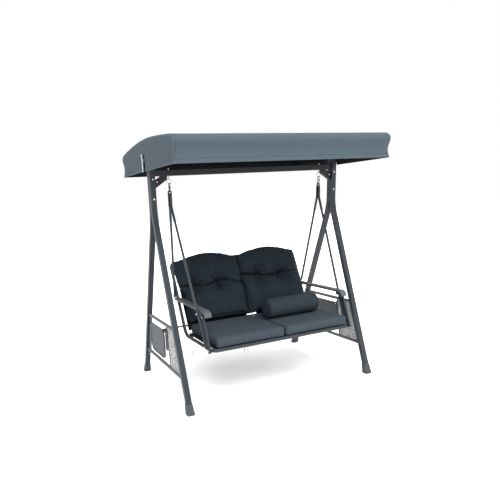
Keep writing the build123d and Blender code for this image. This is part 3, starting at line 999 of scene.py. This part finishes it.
@dataclass
class BackCushion:
    """A tufted back cushion with an arched top."""

    side: Side
    line: TuftLine
    inner: float
    outer: tuple[tuple[float, float], ...]
    left_margin: float
    plane: BackPlane = field(default_factory=BackPlane)
    low_z: float = 0.5085
    corner_along: float = 0.578
    crown: float = 0.072
    edge_thick: float = 0.070
    stand_off: float = 0.0125
    proud_margin: float = 0.008
    right_margin: float = 0.0025
    arch_steps: int = 24
    gathers: tuple[tuple[float, float, str], ...] = ((0.15, 0.030, "SMOOTH"), (0.065, 0.034, "SHARP"))
    fold_depth: float = 0.017
    fold_reach: float = 0.036
    ray_depth: float = 0.0095
    ray_reach: float = 0.021
    rays: tuple[tuple[int, float], ...] = (
        (20, 0.07),
        (48, 0.10),
        (78, 0.13),
        (108, 0.11),
        (140, 0.09),
        (205, 0.06),
        (335, 0.07),
        (262, 0.06),
    )
    swells: tuple[tuple[float, float, float, float], ...] = (
        (0.25, 0.14, 0.024, 0.20),
        (0.38, 0.14, 0.020, 0.20),
        (0.50, 0.08, 0.010, 0.13),
    )
    voxel: float = 0.0065

    def outline(self) -> list[Point]:
        """Returns: the rim in the plane's own axes, with the arch over the top."""
        far = self.outer[-1][1]
        half = abs(far - self.inner) / 2
        middle = (self.inner + far) / 2
        way = math.copysign(1.0, self.inner - far)
        radius = (half**2 + self.crown**2) / (2 * self.crown)
        points = [(self.inner, -0.12, 0.0)]
        points += [(x, along, 0.0) for along, x in self.outer]
        for step in range(1, self.arch_steps + 1):
            across = -half + 2 * half * step / self.arch_steps
            along = self.corner_along + self.crown - radius + math.sqrt(radius**2 - across**2)
            points.append((middle + way * across, along, 0.0))
        return points

    def make(self) -> bpy.types.Object:
        """Returns: the finished cushion."""
        name = f"{self.side.name.lower()}_back_pillow"
        item = wire_mesh(name, self.outline(), closed=True)
        with editing(item, Pick.EDGE):
            bpy.ops.mesh.edge_face_add()
            bpy.ops.mesh.select_mode(type="FACE")
            bpy.ops.mesh.select_all(action="SELECT")
            bpy.ops.mesh.extrude_region_move(TRANSFORM_OT_translate={"value": (0, 0, self.edge_thick)})
        item.matrix_world = self.plane.matrix() @ Matrix.Translation((0, 0, self.stand_off))
        focus(item)
        bpy.ops.object.transform_apply(location=True, rotation=True, scale=True)
        with editing(item):
            bpy.ops.mesh.bisect(
                plane_co=(0, 0, self.low_z), plane_no=(0, 0, 1), use_fill=True, clear_inner=True
            )
            bpy.ops.mesh.normals_make_consistent(inside=False)
        modify(item, "REMESH", mode="VOXEL", voxel_size=self.voxel)
        soften(item, 4)
        self.swell(item)
        pins = self.stitch(item)
        inflate(item, 4.0, 0.020, pins)
        self.crease(item)
        self.press_back(item)
        low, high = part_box(f"{self.side.name.lower()}_back_cushion")
        keep_inside(
            item,
            (low.x - self.left_margin, low.y - self.proud_margin, self.low_z - 0.001),
            (high.x + self.right_margin, high.y, high.z + self.proud_margin),
        )
        modify(item, "SUBSURF", levels=1, render_levels=1)
        tidy(item, 60.0)
        return item

    def press_back(self, item: bpy.types.Object) -> None:
        """Press the back flat against the sling that it leans on.

        Args:
            item: the cushion.
        """
        there = np.array(self.plane.matrix())
        places = coordinates(item)
        local = (places - there[:3, 3]) @ there[:3, :3]
        local[:, 2] = np.maximum(local[:, 2], self.stand_off)
        item.data.vertices.foreach_set("co", (local @ there[:3, :3].T + there[:3, 3]).ravel())
        item.data.update()

    def swell(self, item: bpy.types.Object) -> None:
        """Draw the front out, most in the middle and towards the bottom.

        Args:
            item: the cushion.
        """
        there = self.plane.matrix()
        back = there.inverted()
        middle = (self.inner + self.outer[-1][1]) / 2
        for level, half, rise, reach in self.swells:
            move = there.to_3x3() @ Vector((0.0, 0.0, rise))

            def leads(co: Vector, level: float = level, half: float = half) -> bool:
                local = back @ co
                return local.z > 0.06 and abs(local.y - level) < 0.012 and abs(local.x - middle) < half

            pull(item, leads, tuple(move), reach, connected=True)

    def front_point(self, item: bpy.types.Object, x: float, z: float) -> Point:
        """Find the front surface at a place.

        Args:
            item: the cushion.
            x: the place across.
            z: the place's height.

        Returns:
            The surface point nearest the front there.
        """
        places = coordinates(item)
        close = places[(abs(places[:, 0] - x) < 0.008) & (abs(places[:, 2] - z) < 0.008)]
        return tuple(close[close[:, 1].argmin()])

    def stitch(self, item: bpy.types.Object) -> set[int]:
        """Draw the tufts in and return the points that their stitches hold.

        Args:
            item: the cushion.

        Returns:
            Indices of the held points.
        """
        held: set[int] = set()
        for x, z in self.line.tufts:
            lead = nearest(item, self.front_point(item, x, z), 3)
            for reach, depth, fade in self.gathers:
                spots = [item.data.vertices[i].co.copy() for i in lead]
                pull(
                    item,
                    lambda co, spots=spots: any((co - s).length < 1e-5 for s in spots),
                    (0.0, depth * 0.9, -depth * 0.43),
                    reach,
                    fade,
                    connected=True,
                )
            held |= nearest(item, tuple(item.data.vertices[next(iter(lead))].co), 9)
        return held

    def crease(self, item: bpy.types.Object) -> None:
        """Press in the fold that runs through the tufts from side to side.

        Args:
            item: the cushion.
        """

        def on_fold(co: Vector) -> bool:
            return abs(co.z - self.line.level(co.x)) < 0.0045 and self.is_front(co)

        pull(item, on_fold, (0.0, self.fold_depth, -0.008), self.fold_reach, "SHARP")
        for x, z in self.line.tufts:
            for degrees, reach in self.rays:
                turn = math.radians(degrees + 4.0 * math.sin(90.0 * x + degrees))
                ray = Vector((math.cos(turn), 0.0, math.sin(turn)))

                def on_ray(
                    co: Vector, x: float = x, z: float = z, ray: Vector = ray, reach: float = reach
                ) -> bool:
                    gap = Vector((co.x - x, 0.0, co.z - z))
                    along = gap.dot(ray)
                    beside = (gap - ray * along).length
                    return 0.018 < along < reach and beside < 0.0042 and self.is_front(co)

                pull(item, on_ray, (0.0, self.ray_depth, -0.0046), self.ray_reach, "SHARP")

    def is_front(self, co: Vector) -> bool:
        """Say whether a point is on the cushion's front.

        Args:
            co: the point.

        Returns:
            True in front of the rim's middle.
        """
        local = self.plane.matrix().inverted() @ co
        return local.z > 0.055


@dataclass
class SeatCushion:
    """A boxed seat cushion with rounded corners and a soft crown."""

    side: Side
    corner: float = 0.012
    edge: float = 0.006
    crown: float = 0.006
    inset: float = 0.003
    top_drop: float = 0.004
    crown_reach: float = 0.30
    voxel: float = 0.006

    def round_edges(self, item: bpy.types.Object, level: float, radius: float, segments: int) -> None:
        """Round the edges whose middle lies at one height.

        Args:
            item: the cushion.
            level: the height.
            radius: the rounding.
            segments: how many steps it has.
        """
        choose(item, Pick.EDGE, lambda co: abs(co.z - level) < 1e-4)
        with editing(item, Pick.EDGE, everything=False):
            bpy.ops.mesh.bevel(offset=radius, segments=segments, affect="EDGES")

    def make(self) -> bpy.types.Object:
        """Returns: the finished cushion."""
        low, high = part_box(f"{self.side.name.lower()}_seat_cushion")
        top = high.z - self.top_drop
        item = box_mesh(
            f"{self.side.name.lower()}_seat_pad",
            (low.x + self.inset, low.y + self.inset, low.z),
            (high.x - self.inset, high.y - self.inset, top),
        )
        middle = (low + high) / 2
        self.round_edges(item, (low.z + top) / 2, self.corner, 6)
        self.round_edges(item, top, self.edge, 4)
        self.round_edges(item, low.z, self.edge * 0.7, 3)
        modify(item, "REMESH", mode="VOXEL", voxel_size=self.voxel)
        soften(item, 1)
        pull(
            item,
            lambda co: abs(co.x - middle.x) < 0.006 and abs(co.y - middle.y) < 0.006 and co.z > top - 0.01,
            (0.0, 0.0, self.crown * 0.7),
            self.crown_reach,
        )
        inflate(item, 1.0, 0.003, set(), 25.0)
        keep_inside(item, (low.x, low.y, low.z - 0.0005), (high.x, high.y, high.z + 0.002))
        modify(item, "SUBSURF", levels=1, render_levels=1)
        tidy(item, 60.0)
        return item


@dataclass
class Bolster:
    """The loose round bolster on the right seat."""

    slack: float = 0.003
    end_insets: tuple[tuple[float, float], ...] = ((0.03, 0.006), (0.03, 0.003))
    dents: tuple[tuple[Side, float], ...] = ((Side.LEFT, 0.075), (Side.RIGHT, 0.06))
    dent_depth: float = 0.0022
    dent_reach: float = 0.03
    voxel: float = 0.006

    def make(self) -> bpy.types.Object:
        """Returns: the finished bolster."""
        low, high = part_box("bolster")
        middle, half = (low + high) / 2, (high - low) / 2
        bpy.ops.object.select_all(action="DESELECT")
        bpy.ops.mesh.primitive_cylinder_add(
            vertices=48,
            radius=half.z - self.slack,
            depth=2 * half.x - 4 * self.slack,
            location=middle,
            rotation=(0.0, math.pi / 2, 0.0),
        )
        item = bpy.context.active_object
        item.name = item.data.name = "bolster_pillow"
        bpy.ops.object.transform_apply(location=True, rotation=True, scale=True)
        choose(item, Pick.FACE, lambda co: abs(co.x - middle.x) > half.x - 0.01)
        with editing(item, Pick.FACE, everything=False):
            for thickness, depth in self.end_insets:
                bpy.ops.mesh.inset(thickness=thickness, depth=depth)
        modify(item, "REMESH", mode="VOXEL", voxel_size=self.voxel)
        soften(item, 4)
        for side, inward in self.dents:
            x = middle.x + side.value * (half.x - inward)
            pull(
                item,
                lambda co, x=x: abs(co.x - x - 0.02 * math.sin(30 * co.y)) < 0.004 and co.z > low.z + 0.03,
                (0.0, 0.0, -self.dent_depth),
                self.dent_reach,
                "SHARP",
            )
        inflate(item, 2.5, 0.005, set(), 20.0)
        keep_inside(item, (low.x, low.y, low.z - 0.0005), (high.x, high.y, high.z + 0.001))
        modify(item, "SUBSURF", levels=1, render_levels=1)
        tidy(item, 60.0)
        return item


@dataclass
class CanopyCover:
    """The fabric canopy: one continuous curved sheet with a sewn hem and two bound slits."""

    shoulder_z: float = 1.806
    crown_z: float = 1.858
    hem_z: float = 1.644
    half_x: float = 0.827
    half_y: float = 0.5665
    shoulder: float = 0.055
    end_round: float = 0.022
    slit_y: tuple[float, float] = (-0.007, 0.029)
    slit_top: float = 1.757
    thick: float = 0.0016
    hem_high: float = 0.027
    shoulder_steps: int = 7
    roof_steps: int = 14
    grid: float = 0.02
    levels: tuple[float, ...] = (1.655, 1.686, 1.701, 1.716, 1.731, 1.746, 1.775, 1.79)
    roof_sag: float = 0.006
    roof_sag_y: float = 0.28
    hollow_z: float = 1.701
    hollow_reach: float = 0.085
    long_hollow: float = 0.018
    end_hollow: float = 0.008
    waves: tuple[tuple[float, int], ...] = ((-0.52, 1), (-0.13, -1), (0.27, 1), (0.6, -1))
    folds: tuple[tuple[Point, Point, float], ...] = (
        ((0.38, -0.5665, 1.664), (0.79, -0.5665, 1.708), 0.006),
        ((0.55, -0.5665, 1.655), (0.80, -0.5665, 1.676), 0.004),
        ((-0.79, -0.5665, 1.690), (-0.40, -0.5665, 1.668), 0.005),
        ((-0.78, -0.5665, 1.742), (-0.10, -0.5665, 1.728), 0.004),
        ((0.05, -0.5665, 1.722), (0.66, -0.5665, 1.738), 0.004),
        ((-0.827, -0.08, 1.668), (-0.827, -0.52, 1.688), 0.006),
        ((-0.827, 0.08, 1.700), (-0.827, 0.50, 1.672), 0.005),
        ((0.827, -0.08, 1.668), (0.827, -0.52, 1.690), 0.006),
        ((0.827, 0.08, 1.698), (0.827, 0.50, 1.674), 0.005),
    )

    def profile(self) -> list[Point]:
        """Returns: the end outline from the front hem over the top to the rear hem."""
        rise = self.crown_z - self.shoulder_z
        radius = (self.half_y**2 + rise**2) / (2 * rise)
        centre_z = self.crown_z - radius
        turn_y = self.half_y - self.shoulder
        turn_z = centre_z + math.sqrt((radius - self.shoulder) ** 2 - turn_y**2)
        last = math.atan2(turn_z - centre_z, turn_y)
        front = [(-self.half_y, self.hem_z)]
        for step in range(self.shoulder_steps + 1):
            angle = last * step / self.shoulder_steps
            across, rise = self.shoulder * math.cos(angle), self.shoulder * math.sin(angle)
            front.append((-turn_y - across, turn_z + rise))
        roof_start = front[-1][0]
        for step in range(1, self.roof_steps):
            y = roof_start * (1 - step / self.roof_steps)
            front.append((y, centre_z + math.sqrt(radius**2 - y**2)))
        half = [*front, (0.0, self.crown_z)]
        full = half + [(-y, z) for y, z in reversed(front)]
        return [(-self.half_x, y, z) for y, z in full]

    def make(self) -> bpy.types.Object:
        """Returns: the finished cover."""
        item = wire_mesh("canopy_sheet", self.profile())
        with editing(item, Pick.EDGE):
            bpy.ops.mesh.extrude_region_move(TRANSFORM_OT_translate={"value": (2 * self.half_x, 0, 0)})
        for sign in (-1, 1):
            choose(item, Pick.POINT, lambda co, sign=sign: abs(co.x - sign * self.half_x) < 1e-4)
            with editing(item, everything=False):
                bpy.ops.mesh.edge_face_add()
        tidy(item)
        modify(
            item,
            "BEVEL",
            width=self.end_round,
            segments=5,
            limit_method="ANGLE",
            angle_limit=math.radians(60.0),
        )
        tidy(item, 50.0)
        slice_mesh(item, 2, sorted([*self.levels, self.hem_z + self.hem_high, self.slit_top]))
        roof = (step * self.grid - 0.54 for step in range(55) if abs(step - 27.5) > 2)
        slice_mesh(item, 1, [*self.slit_y, *roof])
        slice_mesh(item, 0, [step * self.grid - 0.80 for step in range(81)])
        slit_low, slit_high = self.slit_y
        choose(
            item,
            Pick.FACE,
            lambda co: abs(co.x) > self.half_x - 0.004
            and slit_low < co.y < slit_high
            and co.z < self.slit_top,
        )
        with editing(item, Pick.FACE, everything=False):
            bpy.ops.mesh.delete(type="FACE")
        self.sag(item)
        tidy(item, 50.0)
        if max(item.data.polygons, key=lambda face: face.center.z).normal.z < 0:
            with editing(item):
                bpy.ops.mesh.flip_normals()
        return item

    def sag(self, item: bpy.types.Object) -> None:
        """Let the cloth sink between its bars and ripple along its valance.

        Args:
            item: the cover.
        """
        for y in (-self.roof_sag_y, self.roof_sag_y):
            pull(
                item,
                lambda co, y=y: abs(co.y - y) < 0.025 and abs(co.x) < 0.7 and co.z > 1.8,
                (0.0, 0.0, -self.roof_sag),
                0.22,
            )
        for sign in (-1, 1):
            for axis, half, hollow in ((1, self.half_y, self.long_hollow), (0, self.half_x, self.end_hollow)):

                def on_line(co: Vector, axis: int = axis, place: float = sign * half) -> bool:
                    return abs(co[axis] - place) < 0.004 and abs(co.z - self.hollow_z) < 0.004

                inward = [0.0, 0.0, 0.0]
                inward[axis] = -sign * hollow
                pull(item, on_line, tuple(inward), self.hollow_reach)
        for start, end, depth in self.folds:
            first, last = Vector(start), Vector(end)
            span = last - first

            def on_fold(co: Vector, first: Vector = first, span: Vector = span) -> bool:
                share = (co - first).dot(span) / span.length_squared
                return 0 <= share <= 1 and (co - first - span * share).length < 0.011

            inward = (0.0, depth, 0.0) if abs(span.x) > 0.05 else (math.copysign(depth, -first.x), 0.0, 0.0)
            pull(item, on_fold, inward, 0.034)
        for x, way in self.waves:
            for y, sign in ((-self.half_y, 1), (self.half_y, -1)):
                pull(
                    item,
                    lambda co, x=x, y=y: abs(co.x - x) < 0.021 and abs(co.y - y) < 0.004 and co.z < 1.70,
                    (0.0, sign * (0.006 + 0.002 * way), 0.0),
                    0.17,
                )

    def finish(self, item: bpy.types.Object) -> None:
        """Give the cover its thickness, with its inner face painted near-black as painted shade.

        Args:
            item: the cover.
        """
        # the inner face gets the near-black painted shade
        PAINTS.give(item, Finish.CANOPY, Finish.UNDERSIDE_SHADE)
        modify(item, "SOLIDIFY", thickness=self.thick, offset=-1.0, material_offset=1, material_offset_rim=0)
        modify(item, "SUBSURF", levels=1, render_levels=1, subdivision_type="SIMPLE")
        focus(item)
        bpy.ops.object.shade_smooth_by_angle(angle=math.radians(50.0))

    def bindings(self) -> list[bpy.types.Object]:
        """Returns: the light tape round each slit."""
        low, high = self.slit_y
        made = []
        for side in Side:
            x = side.value * (self.half_x + 0.0004)
            route = [
                (x, high, self.hem_z + 0.001),
                (x, high, self.hem_z + 0.05),
                (x, high, self.slit_top - 0.03),
                (x, high, self.slit_top - 0.004),
                (x, high + 0.004, self.slit_top),
                (x, high + 0.02, self.slit_top + 0.001),
            ]
            made.append(tube_mesh(f"{side.name.lower()}_slit_binding", route, 0.003))
        return made


@dataclass
class Sling:
    """A taut fabric panel stretched over the bench's tubes."""

    name: str
    node: str
    route: tuple[tuple[float, float], ...]
    span: tuple[float, float]
    dip: float = 0.0
    thick: float = 0.0018
    across_steps: int = 28

    def flat(self) -> tuple[float, float]:
        """Returns: the panel's width and length laid flat."""
        return self.span[1] - self.span[0], sum(math.dist(a, b) for a, b in zip(self.route, self.route[1:]))

    def make(self) -> bpy.types.Object:
        """Returns: the finished panel."""
        left, right = self.span
        item = wire_mesh(self.name, [(left, y, z) for y, z in self.route])
        with editing(item, Pick.EDGE):
            bpy.ops.mesh.subdivide(number_cuts=5)
            for _ in range(self.across_steps):
                bpy.ops.mesh.select_mode(type="EDGE")
                bpy.ops.mesh.extrude_region_move(
                    TRANSFORM_OT_translate={"value": ((right - left) / self.across_steps, 0, 0)}
                )
        if self.dip:
            low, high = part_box(self.node)
            middle = (low + high) / 2
            pull(
                item,
                lambda co: abs(co.x) < 0.03 and abs(co.y - middle.y) < 0.03,
                (0.0, 0.0, -self.dip),
                0.2,
            )
        tidy(item)
        modify(item, "SOLIDIFY", thickness=self.thick, offset=0.0)
        tidy(item)
        return item


@dataclass
class Tie:
    """A loose cushion tie: a free cord of known length."""

    node: str
    route: tuple[Point, ...]
    diameter: float = 0.003

    def length(self) -> float:
        """Returns: the route's length."""
        return sum((Vector(b) - Vector(a)).length for a, b in zip(self.route, self.route[1:]))

    def make(self) -> bpy.types.Object:
        """Returns: the finished cord."""
        name = f"{self.node}_cord"
        curve = bpy.data.curves.new(name, "CURVE")
        curve.dimensions = "3D"
        curve.bevel_depth = self.diameter / 2
        curve.bevel_resolution = 4
        curve.use_fill_caps = True
        spline = curve.splines.new("NURBS")
        spline.points.add(len(self.route) - 1)
        for knot, place in zip(spline.points, self.route):
            knot.co = (*place, 1.0)
        spline.order_u = 3
        spline.use_endpoint_u = True
        item = bpy.data.objects.new(name, curve)
        bpy.context.scene.collection.objects.link(item)
        PAINTS.give(item, Finish.TIE)
        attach(item, Body.SWING.value)
        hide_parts(self.node)
        return item


# ------------------------------------------------------------------ the object
BACK_ROUTE = ((0.0135, 0.448), (0.066, 0.557), (0.144, 0.718), (0.222, 0.880), (0.2525, 0.944))


@dataclass
class Camera:
    """The camera that the object is seen through."""

    place: Point = (-1.8297, -3.1304, 1.4252)
    yaw: float = 0.361
    pitch: float = -0.2558
    roll: float = -0.0618
    lens: float = 32.33
    shift: tuple[float, float] = (0.1448, 0.1401)

    def make(self) -> None:
        """Add the camera to the scene."""
        forward = Vector(
            (
                math.sin(self.yaw) * math.cos(self.pitch),
                math.cos(self.yaw) * math.cos(self.pitch),
                math.sin(self.pitch),
            )
        )
        level = Vector((math.cos(self.yaw), -math.sin(self.yaw), 0.0))
        upright = level.cross(forward)
        right = level * math.cos(self.roll) + upright * math.sin(self.roll)
        up = upright * math.cos(self.roll) - level * math.sin(self.roll)
        lens = bpy.data.cameras.new("View")
        lens.sensor_width = 36.0
        lens.lens = self.lens
        lens.shift_x, lens.shift_y = self.shift
        lens.clip_start, lens.clip_end = 0.05, 60.0
        lens.dof.use_dof = False
        item = bpy.data.objects.new("View", lens)
        turn = Matrix((right, up, -forward)).transposed().to_4x4()
        item.matrix_world = Matrix.Translation(self.place) @ turn
        bpy.context.scene.collection.objects.link(item)
        bpy.context.scene.camera = item


@dataclass
class StudioSet:
    """The floor, the sky and the soft lamps."""

    sky: float = 1.0
    floor: Point = (0.90, 0.90, 0.90)

    def make(self) -> None:
        """Add the floor, the world and the lamps."""
        bpy.ops.object.select_all(action="DESELECT")
        bpy.ops.mesh.primitive_plane_add(size=60, location=(0, 0, -0.0005))
        ground = bpy.context.active_object
        ground.name = "studio_floor"
        bpy.ops.object.transform_apply(location=True, rotation=True, scale=True)
        ground.data.materials.append(Studio("studio_floor", self.floor).make())
        ground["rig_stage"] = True
        bpy.context.scene.view_settings.view_transform = "Standard"
        world = bpy.data.worlds.new("Studio")
        bpy.context.scene.world = world
        world.use_nodes = True
        world.node_tree.nodes["Background"].inputs["Color"].default_value = (1.0, 1.0, 1.0, 1.0)
        world.node_tree.nodes["Background"].inputs["Strength"].default_value = self.sky
        self.lamp("key", (-1.2, -3.6, 4.2), 35.0, 2.9)
        self.lamp("fill", (3.4, -2.6, 3.0), 60.0, 0.4)
        self.lamp("over", (0.2, -0.6, 4.6), 70.0, 3.0)

    def lamp(self, name: str, place: Point, spread: float, strength: float) -> None:
        """Add one distant soft lamp aimed at the bench.

        Args:
            name: the lamp's name.
            place: a point on the line that its light comes along.
            spread: how wide it looks from the bench, in degrees.
            strength: its strength in watts to a square metre.
        """
        light = bpy.data.lights.new(name, "SUN")
        light.angle = math.radians(spread)
        light.energy = strength
        item = bpy.data.objects.new(name, light)
        item.location = place
        item.rotation_mode = "QUATERNION"
        item.rotation_quaternion = (Vector((0.0, 0.0, 0.8)) - Vector(place)).to_track_quat("-Z", "Y")
        bpy.context.scene.collection.objects.link(item)
        item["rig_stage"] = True


def ends_with(*endings: str) -> Callable[[str], bool]:
    """Make a name test.

    Args:
        endings: the endings that pass.

    Returns:
        The test.
    """
    return lambda name: name.endswith(endings)


@dataclass
class HardParts:
    """The frame's own parts, each given its finish."""

    rules: tuple[tuple[Callable[[str], bool], Finish], ...] = (
        (ends_with("cross_tube", "rear_strips", "tube_gussets"), Finish.LIGHT),
        (ends_with("foot_caps"), Finish.FOOT),
        # painted shade: the parts under the canopy get the darker copy of the frame paint
        (ends_with("top_beam", "braces", "pivot_brackets"), Finish.SHADED),
        (ends_with("ridge_bar", "front_bar", "rear_bar", "end_bar"), Finish.SHADED),
        (ends_with("bay_panels"), Finish.MESH),
        (ends_with("bolts", "pivot_studs", "tray_pins"), Finish.ZINC),
        (ends_with("quick_links"), Finish.LINK),
        (ends_with("armrest"), Finish.ARMREST),
        (ends_with("knob"), Finish.KNOB),
        (ends_with("_tray"), Finish.TRAY),
    )

    def make(self, nodes: dict[str, bpy.types.Object]) -> None:
        """Give every shown node a finish.

        Args:
            nodes: the frame's nodes by name.
        """
        for name, item in nodes.items():
            finish = next((f for test, f in self.rules if test(name)), Finish.FRAME)
            PAINTS.give(item, finish)


@dataclass
class SwingBench:
    """The whole object: soft parts, ties and finishes."""

    ties: tuple[Tie, ...] = (
        Tie(
            "long_tie",
            (
                (-0.530, 0.020, 0.399),
                (-0.531, 0.023, 0.368),
                (-0.529, 0.019, 0.331),
                (-0.533, 0.022, 0.289),
                (-0.531, 0.018, 0.240),
            ),
        ),
        Tie(
            "outer_tie",
            (
                (-0.334, -0.472, 0.407),
                (-0.336, -0.474, 0.396),
                (-0.333, -0.471, 0.384),
                (-0.336, -0.473, 0.371),
            ),
        ),
        Tie(
            "inner_tie",
            (
                (-0.308, -0.472, 0.407),
                (-0.306, -0.474, 0.395),
                (-0.309, -0.472, 0.383),
                (-0.307, -0.475, 0.370),
            ),
        ),
    )
    backs: tuple[BackCushion, ...] = (
        BackCushion(
            Side.LEFT,
            LEFT_TUFTS,
            -0.012,
            ((-0.12, -0.549), (0.31, -0.549), (0.36, -0.572), (0.45, -0.582), (0.578, -0.586)),
            0.036,
        ),
        BackCushion(
            Side.RIGHT,
            RIGHT_TUFTS,
            -0.030,
            ((-0.12, 0.541), (0.30, 0.541), (0.578, 0.543)),
            0.0105,
        ),
    )
    slings: tuple[Sling, ...] = (
        Sling(
            "seat_panel",
            "seat_sling",
            ((-0.4625, 0.4297), (-0.440, 0.4302), (-0.30, 0.4300), (-0.15, 0.4300), (-0.008, 0.4297)),
            (-0.566, 0.566),
            0.001,
        ),
        Sling("left_back_panel", "back_sling", BACK_ROUTE, (-0.554, -0.020)),
        Sling("right_back_panel", "back_sling", BACK_ROUTE, (0.070, 0.554)),
    )

    def cords(self) -> None:
        """Make the free ties."""
        for tie in self.ties:
            tie.make()

    def soft(self) -> None:
        """Make the canopy, slings, cushions and bolster."""
        self.canopy()
        for sling in self.slings:
            item = sling.make()
            PAINTS.give(item, Finish.SLING)
            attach(item, Body.SWING.value)
            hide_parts(sling.node)
            sling.flat()
        for back in self.backs:
            item = back.make()
            PAINTS.give(item, Finish.LEFT_BACK if back.side is Side.LEFT else Finish.RIGHT_BACK)
            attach(item, Body.SWING.value)
            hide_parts(f"{back.side.name.lower()}_back_cushion")
        for side in Side:
            item = SeatCushion(side).make()
            PAINTS.give(item, Finish.SEAT)
            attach(item, Body.SWING.value)
            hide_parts(f"{side.name.lower()}_seat_cushion")
        item = Bolster().make()
        PAINTS.give(item, Finish.BOLSTER)
        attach(item, Body.SWING.value)
        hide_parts("bolster")

    def canopy(self) -> None:
        """Make the canopy's cover and slit bindings."""
        cover = CanopyCover()
        item = cover.make()
        cover.finish(item)
        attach(item, Body.CANOPY.value)
        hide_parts("canopy_cover")
        trims = cover.bindings()
        for trim in trims:
            PAINTS.give(trim, Finish.TRIM)
            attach(trim, Body.CANOPY.value)


def corners() -> list[list[float]]:
    """Returns: the shown object's lowest and highest corner as plain lists."""
    return [list(corner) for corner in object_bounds()]


def main() -> None:
    """Build the looks around the frame."""
    logging.basicConfig(level=logging.INFO, format="%(name)s: %(message)s")
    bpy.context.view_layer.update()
    bpy.ops.object.select_all(action="DESELECT")
    Camera().make()
    bench = SwingBench()
    bench.cords()
    HardParts().make(frame["nodes"])
    bench.soft()
    StudioSet().make()
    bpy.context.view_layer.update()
    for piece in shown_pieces():
        LOG.info("made %s", getattr(piece, "name", piece))


if __name__ == "__main__":
    main()
